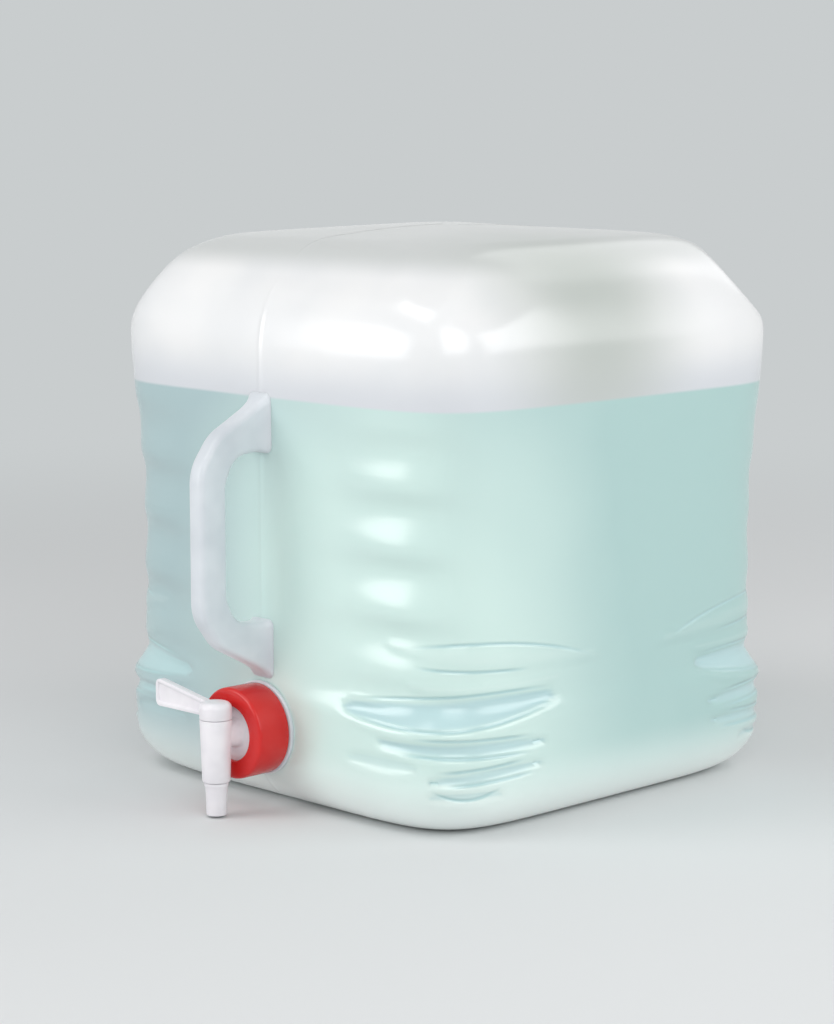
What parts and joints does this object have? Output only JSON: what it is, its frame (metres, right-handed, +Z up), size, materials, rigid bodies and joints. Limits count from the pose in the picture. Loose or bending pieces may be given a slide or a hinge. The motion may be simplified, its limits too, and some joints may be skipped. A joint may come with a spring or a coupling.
{
  "type": "collapsible water carrier",
  "caption": "Soft cube-shaped water carrier of milky plastic film that folds flat, with a moulded side handle and a quarter-turn tap held by a red screw ring.",
  "frame": {"origin": "middle of the flat base that the bag stands on", "axes": "+Z up; the front face with the handle and the tap looks along -Y; +X is to the right of someone who looks at that face"},
  "size_m": [0.266, 0.307, 0.292],
  "materials": {
    "milky_film": "glossy blow-moulded low-density polyethylene, milky",
    "handle_plastic": "satin solid polyethylene",
    "red_plastic": "injection-moulded red polypropylene",
    "washer_rubber": "soft matt sheet rubber",
    "white_plastic": "injection-moulded white polyethylene"
  },
  "bodies": {
    "bag_front": {"bag_front_panel": "milky_film", "bag_side_wall": "milky_film", "filler_neck": "milky_film", "carry_handle": "handle_plastic"},
    "bag_rear": {"bag_rear_panel": "milky_film"},
    "spigot": {"tap_body": "white_plastic", "sealing_washer": "washer_rubber"},
    "cap": {"cap_ring": "red_plastic"},
    "valve": {"valve_plug": "white_plastic"}
  },
  "joints": [
    {"name": "bag_collapse", "type": "slide", "parent": "bag_front", "child": "bag_rear", "axis": [0, -1, 0], "range_m": [0, 0.175], "deforming": ["bag_side_wall"]},
    {"name": "spigot_draw", "type": "slide", "parent": "bag_front", "child": "spigot", "axis": [0, -1, 0], "range_m": [0, 0.008]},
    {"name": "cap_turn", "type": "hinge", "parent": "spigot", "child": "cap", "pos_m": [0, -0.1437, 0.0413], "axis": [0, -1, 0], "range_deg": [0, 720]},
    {"name": "valve_turn", "type": "hinge", "parent": "spigot", "child": "valve", "pos_m": [0, -0.1628, 0.0413], "axis": [0, 0, 1], "range_deg": [0, 90]}
  ],
  "couplings": [
    {"joint": "cap_turn", "follows": "spigot_draw", "rad_per_m": 1570.8}
  ]
}
